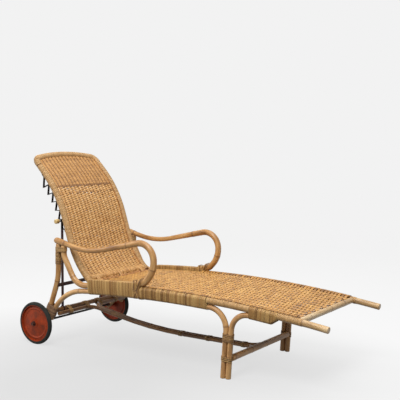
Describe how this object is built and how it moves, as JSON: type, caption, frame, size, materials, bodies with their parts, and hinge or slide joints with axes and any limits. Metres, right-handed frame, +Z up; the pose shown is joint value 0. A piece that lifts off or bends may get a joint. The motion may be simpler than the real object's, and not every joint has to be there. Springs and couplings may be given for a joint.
{
  "type": "chaise longue",
  "caption": "Reclining rattan chaise longue with woven seat and back, looped arms, carrying handles and two rear wheels.",
  "frame": {"origin": "middle of the bounding box in plan, at floor height", "axes": "+X towards the foot end and its handles, +Y to the left of a person lying on it, +Z up"},
  "size_m": [1.9, 0.7412, 1.0802],
  "materials": {
    "pale_rattan": "satin varnish",
    "aged_rattan": "worn varnish",
    "cane_wrap": "satin",
    "woven_cane": "satin",
    "black_iron": "worn black",
    "brown_iron": "rusty",
    "red_paint": "worn paint",
    "grey_steel": "dull",
    "dark_rubber": "dusty"
  },
  "bodies": {
    "frame": {"right_side_rail": "pale_rattan", "left_side_rail": "pale_rattan", "right_lower_rail": "aged_rattan", "left_lower_rail": "aged_rattan", "right_fork_pole": "aged_rattan", "left_fork_pole": "aged_rattan", "right_arm": "pale_rattan", "left_arm": "pale_rattan", "right_rear_post": "pale_rattan", "left_rear_post": "pale_rattan", "right_post_lashing": "cane_wrap", "left_post_lashing": "cane_wrap", "right_post_binding": "cane_wrap", "left_post_binding": "cane_wrap", "right_axle_block": "aged_rattan", "left_axle_block": "aged_rattan", "right_apron_wrap": "cane_wrap", "left_apron_wrap": "cane_wrap", "right_foot_wrap": "cane_wrap", "left_foot_wrap": "cane_wrap", "right_leg_lashing": "cane_wrap", "left_leg_lashing": "cane_wrap", "right_leg_band": "cane_wrap", "left_leg_band": "cane_wrap", "foot_crossbar": "aged_rattan", "seat_panel": "woven_cane", "seat_cross_poles": "aged_rattan", "rear_cross_stretcher": "aged_rattan", "front_cross_stretcher": "aged_rattan", "right_long_stretcher": "aged_rattan", "left_long_stretcher": "aged_rattan", "stretcher_bindings": "cane_wrap", "rear_brace_bar": "brown_iron", "axle": "black_iron", "axle_collars": "grey_steel", "hinge_rod": "black_iron", "hub_nuts": "grey_steel"},
    "back": {"right_back_rail": "pale_rattan", "left_back_rail": "pale_rattan", "back_top_pole": "pale_rattan", "back_bottom_pole": "aged_rattan", "back_cross_poles": "aged_rattan", "back_panel": "woven_cane", "right_rack": "black_iron", "left_rack": "black_iron", "hinge_eyes": "black_iron"},
    "prop": {"right_prop_leg": "brown_iron", "left_prop_leg": "brown_iron", "prop_rod": "black_iron", "prop_roller": "pale_rattan", "right_prop_knob": "pale_rattan", "left_prop_knob": "pale_rattan"},
    "right_wheel": {"right_wheel_disc": "red_paint", "right_wheel_tyre": "dark_rubber", "right_wheel_hub": "red_paint"},
    "left_wheel": {"left_wheel_disc": "red_paint", "left_wheel_tyre": "dark_rubber", "left_wheel_hub": "red_paint"}
  },
  "joints": [
    {"name": "back_recline", "type": "hinge", "parent": "frame", "child": "back", "pos_m": [-0.478, 0, 0.36278], "axis": [0, -1, 0], "range_deg": [0, 38]},
    {"name": "prop_swing", "type": "hinge", "parent": "frame", "child": "prop", "pos_m": [-0.727, 0, 0.195], "axis": [0, -1, 0], "range_deg": [0, 47.5]},
    {"name": "right_wheel_spin", "type": "hinge", "parent": "frame", "child": "right_wheel", "pos_m": [-0.83, -0.335, 0.12], "axis": [0, 1, 0], "continuous": true},
    {"name": "left_wheel_spin", "type": "hinge", "parent": "frame", "child": "left_wheel", "pos_m": [-0.83, 0.335, 0.12], "axis": [0, 1, 0], "continuous": true}
  ],
  "couplings": [
    {"joint": "prop_swing", "follows": "back_recline", "ratio": 1.24}
  ]
}
